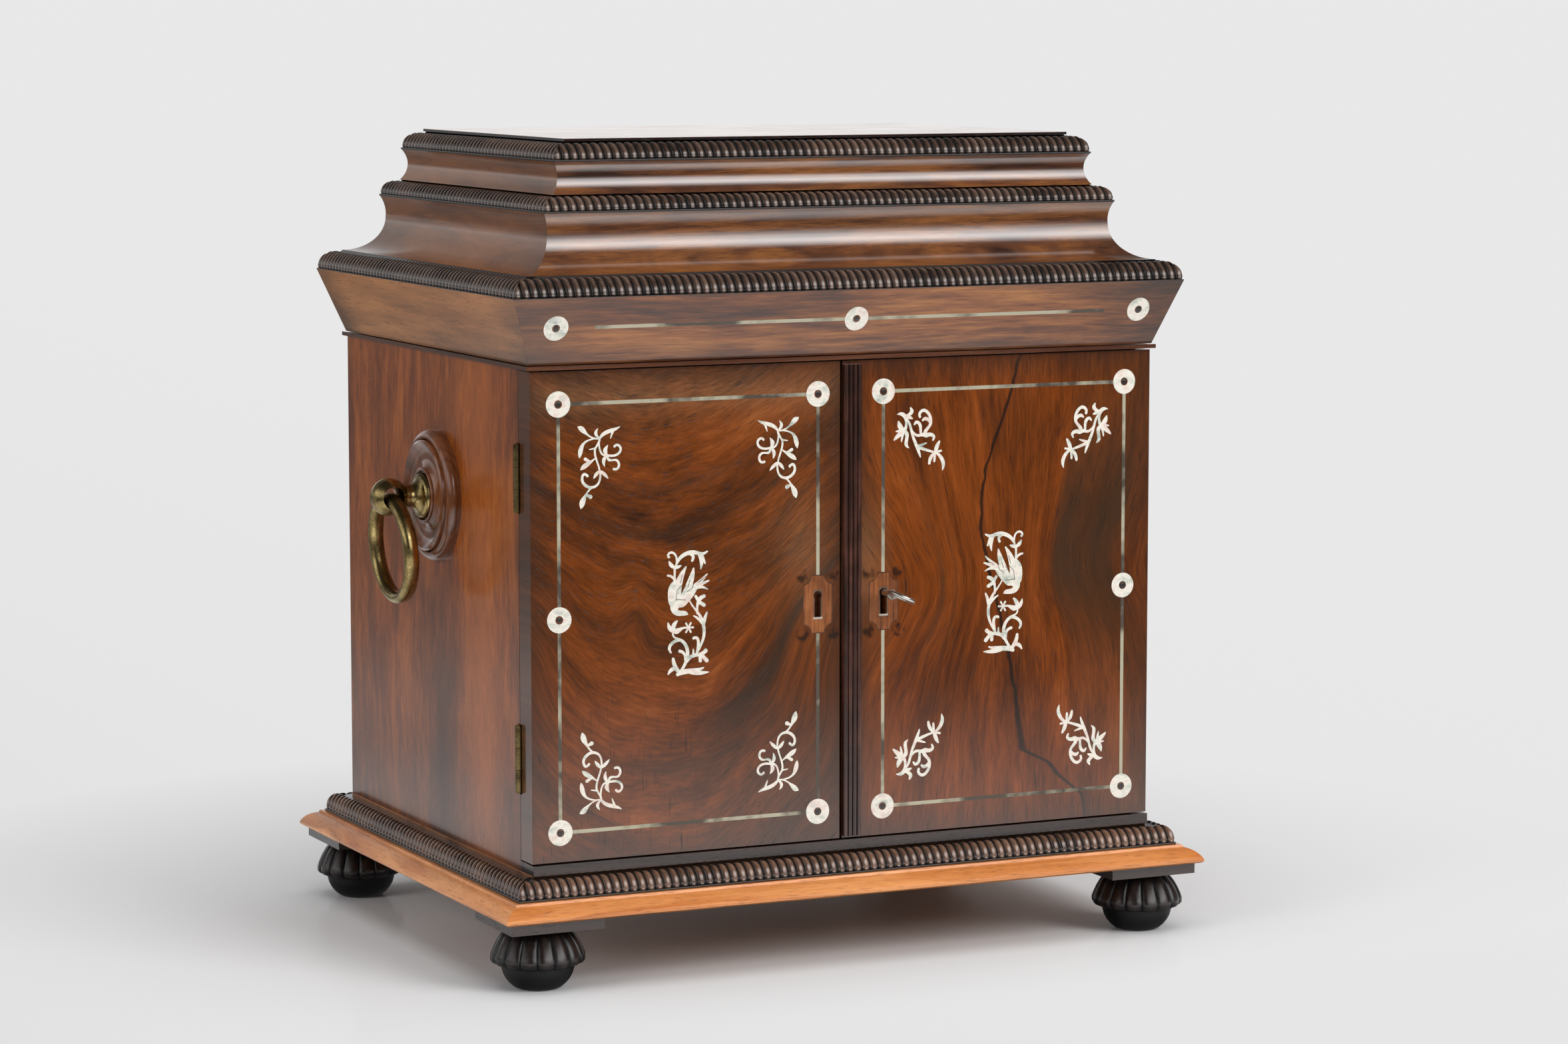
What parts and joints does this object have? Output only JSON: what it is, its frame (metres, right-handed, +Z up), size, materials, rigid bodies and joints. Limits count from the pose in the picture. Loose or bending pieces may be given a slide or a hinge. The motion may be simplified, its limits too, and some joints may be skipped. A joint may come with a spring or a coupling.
{
  "type": "tabletop cabinet",
  "caption": "Inlaid wooden table cabinet with a stepped hinged lid over a lift-out tray, a pair of doors over small drawers, side ring handles and lobed bun feet.",
  "frame": {"origin": "on the floor, under the middle of the body", "axes": "+X to the right, +Y to the back, +Z up; the doors face -Y"},
  "size_m": [0.363, 0.2695, 0.361],
  "materials": {
    "rosewood": "figured veneer, french polished",
    "rosewood_side": "plainer veneer with upright grain, french polished",
    "rosewood_moulding": "grain along the moulding, french polished",
    "carved_dark_wood": "carved, dark polish",
    "inside_wood": "plain, waxed",
    "pearl": "mother-of-pearl, polished flush",
    "stringing": "thin inlaid line, dulled",
    "brass": "cast, worn and toned",
    "steel": "plated, lightly worn"
  },
  "bodies": {
    "body": {"left_side": "rosewood_side", "right_side": "rosewood_side", "back_panel": "rosewood_side", "carcass_bottom": "inside_wood", "well_floor": "inside_wood", "well_front_rail": "inside_wood", "centre_divider": "inside_wood", "drawer_shelves": "inside_wood", "tray_bearers": "inside_wood", "top_lip": "rosewood_moulding", "plinth_board": "carved_dark_wood", "base_board": "rosewood_moulding", "base_gadroon": "carved_dark_wood", "foot_pads": "carved_dark_wood", "foot_front_left": "carved_dark_wood", "foot_front_right": "carved_dark_wood", "foot_back_left": "carved_dark_wood", "foot_back_right": "carved_dark_wood", "left_boss": "rosewood_moulding", "right_boss": "rosewood_moulding", "ring_eyes": "brass", "eye_nuts": "brass", "case_hinge_leaves": "brass", "hinge_pins": "steel"},
    "left_door_panel": {"left_door": "rosewood", "left_door_discs": "pearl", "left_door_stringing": "stringing", "left_door_pearl": "pearl", "left_escutcheon": "carved_dark_wood", "left_door_hinge_leaves": "brass"},
    "right_door_panel": {"right_door": "rosewood", "right_door_discs": "pearl", "right_door_stringing": "stringing", "right_door_pearl": "pearl", "right_escutcheon": "carved_dark_wood", "right_door_hinge_leaves": "brass", "meeting_strip": "carved_dark_wood", "lock_case": "brass"},
    "lid": {"lid_frieze": "rosewood", "lid_lower_gadroon": "carved_dark_wood", "lid_large_cove": "rosewood_moulding", "lid_middle_gadroon": "carved_dark_wood", "lid_small_cove": "rosewood_moulding", "lid_top_gadroon": "carved_dark_wood", "lid_top_panel": "rosewood", "frieze_discs": "pearl", "frieze_stringing": "stringing", "lid_hinge_leaves": "brass"},
    "left_ring_body": {"left_ring": "brass"},
    "right_ring_body": {"right_ring": "brass"},
    "key_body": {"key": "steel"},
    "lock_bolt_body": {"lock_bolt": "brass"},
    "tray_body": {"tray": "inside_wood"},
    "drawer_left_bottom_body": {"drawer_left_bottom": "inside_wood"},
    "drawer_left_middle_body": {"drawer_left_middle": "inside_wood"},
    "drawer_left_top_body": {"drawer_left_top": "inside_wood"},
    "drawer_right_bottom_body": {"drawer_right_bottom": "inside_wood"},
    "drawer_right_middle_body": {"drawer_right_middle": "inside_wood"},
    "drawer_right_top_body": {"drawer_right_top": "inside_wood"}
  },
  "joints": [
    {"name": "lid_hinge", "type": "hinge", "parent": "body", "child": "lid", "pos_m": [0, 0.1162, 0.26665], "axis": [-1, 0, 0], "range_deg": [0, 95]},
    {"name": "left_door_hinge", "type": "hinge", "parent": "body", "child": "left_door_panel", "pos_m": [-0.1507, -0.1, 0.158], "axis": [0, 0, -1], "range_deg": [0, 180]},
    {"name": "right_door_hinge", "type": "hinge", "parent": "body", "child": "right_door_panel", "pos_m": [0.1507, -0.1, 0.158], "axis": [0, 0, 1], "range_deg": [0, 180]},
    {"name": "left_ring_swing", "type": "hinge", "parent": "body", "child": "left_ring_body", "pos_m": [-0.173, -0.0035, 0.2015], "axis": [0, 1, 0], "range_deg": [-7, 174]},
    {"name": "right_ring_swing", "type": "hinge", "parent": "body", "child": "right_ring_body", "pos_m": [0.173, -0.0035, 0.2015], "axis": [0, -1, 0], "range_deg": [-7, 174]},
    {"name": "key_turn", "type": "hinge", "parent": "right_door_panel", "child": "key_body", "pos_m": [0.0168, -0.12, 0.1614], "axis": [0, -1, 0], "range_deg": [-65, 115]},
    {"name": "bolt_slide", "type": "slide", "parent": "right_door_panel", "child": "lock_bolt_body", "axis": [-1, 0, 0], "range_m": [-0.00284, 0.00502]},
    {"name": "tray_lift", "type": "slide", "parent": "body", "child": "tray_body", "axis": [0, 0, 1], "range_m": [0, 0.0664]},
    {"name": "drawer_left_bottom_slide", "type": "slide", "parent": "body", "child": "drawer_left_bottom_body", "axis": [0, -1, 0], "range_m": [0, 0.0943]},
    {"name": "drawer_left_middle_slide", "type": "slide", "parent": "body", "child": "drawer_left_middle_body", "axis": [0, -1, 0], "range_m": [0, 0.0754]},
    {"name": "drawer_left_top_slide", "type": "slide", "parent": "body", "child": "drawer_left_top_body", "axis": [0, -1, 0], "range_m": [0, 0.0566]},
    {"name": "drawer_right_bottom_slide", "type": "slide", "parent": "body", "child": "drawer_right_bottom_body", "axis": [0, -1, 0], "range_m": [0, 0.0943]},
    {"name": "drawer_right_middle_slide", "type": "slide", "parent": "body", "child": "drawer_right_middle_body", "axis": [0, -1, 0], "range_m": [0, 0.0754]},
    {"name": "drawer_right_top_slide", "type": "slide", "parent": "body", "child": "drawer_right_top_body", "axis": [0, -1, 0], "range_m": [0, 0.0566]}
  ],
  "couplings": [
    {"joint": "key_turn", "follows": "bolt_slide", "rad_per_m": 400},
    {"joint": "tray_lift", "follows": "lid_hinge", "m_per_rad": 0.04},
    {"joint": "drawer_left_bottom_slide", "follows": "left_door_hinge", "m_per_rad": 0.03},
    {"joint": "drawer_left_middle_slide", "follows": "left_door_hinge", "m_per_rad": 0.024},
    {"joint": "drawer_left_top_slide", "follows": "left_door_hinge", "m_per_rad": 0.018},
    {"joint": "drawer_right_bottom_slide", "follows": "right_door_hinge", "m_per_rad": 0.03},
    {"joint": "drawer_right_middle_slide", "follows": "right_door_hinge", "m_per_rad": 0.024},
    {"joint": "drawer_right_top_slide", "follows": "right_door_hinge", "m_per_rad": 0.018}
  ]
}
